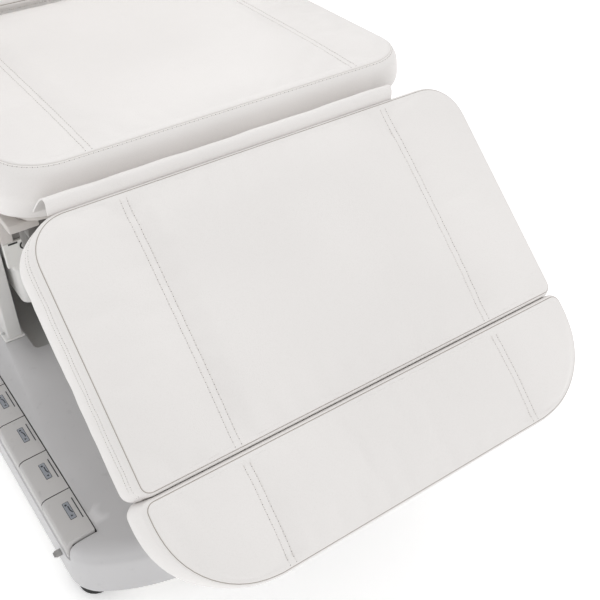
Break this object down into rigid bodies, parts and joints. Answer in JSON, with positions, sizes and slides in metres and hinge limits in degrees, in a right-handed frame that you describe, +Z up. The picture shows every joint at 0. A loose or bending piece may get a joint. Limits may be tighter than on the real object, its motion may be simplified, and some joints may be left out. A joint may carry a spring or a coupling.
{
  "type": "facial treatment bed",
  "caption": "Padded treatment bed on a lifting column, with a folding back and leg rest, sliding footrest and headrest, swing-up armrests and foot pedals along the base.",
  "frame": {"origin": "centre of the bounding box on the floor, in the pose of the picture", "axes": "+Z up, +X across the bed to the left of a person lying on it, +Y from the foot end to the head end"},
  "size_m": [0.83, 1.4636, 1.4123],
  "materials": {
    "white_vinyl": "satin",
    "base_shell": "satin",
    "pedal_grey": "satin",
    "cover_grey": "satin",
    "head_white": "satin",
    "white_steel": "satin",
    "bright_steel": "satin",
    "board": "matte",
    "black_plastic": "matte",
    "foot_rubber": "matte"
  },
  "bodies": {
    "base": {"base_cover": "base_shell", "base_chassis": "white_steel", "foot_front_left": "foot_rubber", "foot_front_right": "foot_rubber", "foot_rear_left": "foot_rubber", "foot_rear_right": "foot_rubber", "column_outer": "white_steel", "column_cover": "cover_grey", "power_inlet": "black_plastic", "side_knob": "cover_grey"},
    "lift": {"column_inner": "bright_steel", "column_skirt": "cover_grey", "lift_head": "head_white", "seat_rail_left": "white_steel", "seat_rail_right": "white_steel", "seat_board": "board", "seat_cushion": "white_vinyl", "leg_bracket_left": "white_steel", "leg_bracket_right": "white_steel", "back_bracket_left": "white_steel", "back_bracket_right": "white_steel", "leg_actuator": "cover_grey", "back_actuator": "cover_grey", "arm_post_left": "white_steel", "arm_post_right": "white_steel"},
    "leg_rest": {"leg_rail_left": "white_steel", "leg_rail_right": "white_steel", "leg_guide_upper": "white_steel", "leg_guide_lower": "white_steel", "leg_board": "board", "leg_cushion": "white_vinyl", "leg_flap": "white_vinyl"},
    "footrest": {"footrest_frame": "bright_steel", "footrest_board": "board", "footrest_cushion": "white_vinyl"},
    "back": {"back_rail_left": "white_steel", "back_rail_right": "white_steel", "back_guide": "white_steel", "back_board": "board", "back_cushion": "white_vinyl"},
    "headrest": {"headrest_frame": "bright_steel", "headrest_cushion": "white_vinyl"},
    "arm_left": {"arm_bar_left": "bright_steel", "arm_pad_left": "white_vinyl"},
    "arm_right": {"arm_bar_right": "bright_steel", "arm_pad_right": "white_vinyl"},
    "leg_push_rod": {"leg_rod": "bright_steel"},
    "back_push_rod": {"back_rod": "bright_steel"},
    "left_leg_down_pedal": {"pedal_left_leg_down": "pedal_grey"},
    "left_leg_up_pedal": {"pedal_left_leg_up": "pedal_grey"},
    "left_back_down_pedal": {"pedal_left_back_down": "pedal_grey"},
    "left_back_up_pedal": {"pedal_left_back_up": "pedal_grey"},
    "left_lift_down_pedal": {"pedal_left_lift_down": "pedal_grey"},
    "left_lift_up_pedal": {"pedal_left_lift_up": "pedal_grey"},
    "right_leg_down_pedal": {"pedal_right_leg_down": "pedal_grey"},
    "right_leg_up_pedal": {"pedal_right_leg_up": "pedal_grey"},
    "right_back_down_pedal": {"pedal_right_back_down": "pedal_grey"},
    "right_back_up_pedal": {"pedal_right_back_up": "pedal_grey"},
    "right_lift_down_pedal": {"pedal_right_lift_down": "pedal_grey"},
    "right_lift_up_pedal": {"pedal_right_lift_up": "pedal_grey"}
  },
  "joints": [
    {"name": "lift_slide", "type": "slide", "parent": "base", "child": "lift", "axis": [0, 0, 1], "range_m": [-0.11, 0.13]},
    {"name": "leg_fold", "type": "hinge", "parent": "lift", "child": "leg_rest", "pos_m": [0, -0.3066, 0.68], "axis": [-1, 0, 0], "range_deg": [-17.8, 42.1]},
    {"name": "footrest_slide", "type": "slide", "parent": "leg_rest", "child": "footrest", "axis": [0, -0.7416, -0.6708], "range_m": [0, 0.12]},
    {"name": "back_fold", "type": "hinge", "parent": "lift", "child": "back", "pos_m": [0, 0.2438, 0.705], "axis": [1, 0, 0], "range_deg": [-58, 12]},
    {"name": "headrest_slide", "type": "slide", "parent": "back", "child": "headrest", "axis": [0, 0.5299, 0.848], "range_m": [0, 0.1]},
    {"name": "arm_left_swing", "type": "hinge", "parent": "lift", "child": "arm_left", "pos_m": [-0.3795, 0.1098, 0.915], "axis": [-1, 0, 0], "range_deg": [0, 95]},
    {"name": "arm_right_swing", "type": "hinge", "parent": "lift", "child": "arm_right", "pos_m": [0.3795, 0.1098, 0.915], "axis": [-1, 0, 0], "range_deg": [0, 95]},
    {"name": "leg_rod_slide", "type": "slide", "parent": "lift", "child": "leg_push_rod", "axis": [0, -1, 0], "range_m": [-0.036, 0.082]},
    {"name": "back_rod_slide", "type": "slide", "parent": "lift", "child": "back_push_rod", "axis": [0, 1, 0], "range_m": [-0.143, 0.032]},
    {"name": "left_leg_down_press", "type": "slide", "parent": "base", "child": "left_leg_down_pedal", "axis": [0, 0, -1], "range_m": [0, 0.005], "stiffness_N_per_m": 1500, "springref_m": -0.003},
    {"name": "left_leg_up_press", "type": "slide", "parent": "base", "child": "left_leg_up_pedal", "axis": [0, 0, -1], "range_m": [0, 0.005], "stiffness_N_per_m": 1500, "springref_m": -0.003},
    {"name": "left_back_down_press", "type": "slide", "parent": "base", "child": "left_back_down_pedal", "axis": [0, 0, -1], "range_m": [0, 0.005], "stiffness_N_per_m": 1500, "springref_m": -0.003},
    {"name": "left_back_up_press", "type": "slide", "parent": "base", "child": "left_back_up_pedal", "axis": [0, 0, -1], "range_m": [0, 0.005], "stiffness_N_per_m": 1500, "springref_m": -0.003},
    {"name": "left_lift_down_press", "type": "slide", "parent": "base", "child": "left_lift_down_pedal", "axis": [0, 0, -1], "range_m": [0, 0.005], "stiffness_N_per_m": 1500, "springref_m": -0.003},
    {"name": "left_lift_up_press", "type": "slide", "parent": "base", "child": "left_lift_up_pedal", "axis": [0, 0, -1], "range_m": [0, 0.005], "stiffness_N_per_m": 1500, "springref_m": -0.003},
    {"name": "right_leg_down_press", "type": "slide", "parent": "base", "child": "right_leg_down_pedal", "axis": [0, 0, -1], "range_m": [0, 0.005], "stiffness_N_per_m": 1500, "springref_m": -0.003},
    {"name": "right_leg_up_press", "type": "slide", "parent": "base", "child": "right_leg_up_pedal", "axis": [0, 0, -1], "range_m": [0, 0.005], "stiffness_N_per_m": 1500, "springref_m": -0.003},
    {"name": "right_back_down_press", "type": "slide", "parent": "base", "child": "right_back_down_pedal", "axis": [0, 0, -1], "range_m": [0, 0.005], "stiffness_N_per_m": 1500, "springref_m": -0.003},
    {"name": "right_back_up_press", "type": "slide", "parent": "base", "child": "right_back_up_pedal", "axis": [0, 0, -1], "range_m": [0, 0.005], "stiffness_N_per_m": 1500, "springref_m": -0.003},
    {"name": "right_lift_down_press", "type": "slide", "parent": "base", "child": "right_lift_down_pedal", "axis": [0, 0, -1], "range_m": [0, 0.005], "stiffness_N_per_m": 1500, "springref_m": -0.003},
    {"name": "right_lift_up_press", "type": "slide", "parent": "base", "child": "right_lift_up_pedal", "axis": [0, 0, -1], "range_m": [0, 0.005], "stiffness_N_per_m": 1500, "springref_m": -0.003}
  ],
  "couplings": [
    {"joint": "leg_rod_slide", "follows": "leg_fold", "m_per_rad": 0.108},
    {"joint": "back_rod_slide", "follows": "back_fold", "m_per_rad": 0.1388}
  ]
}
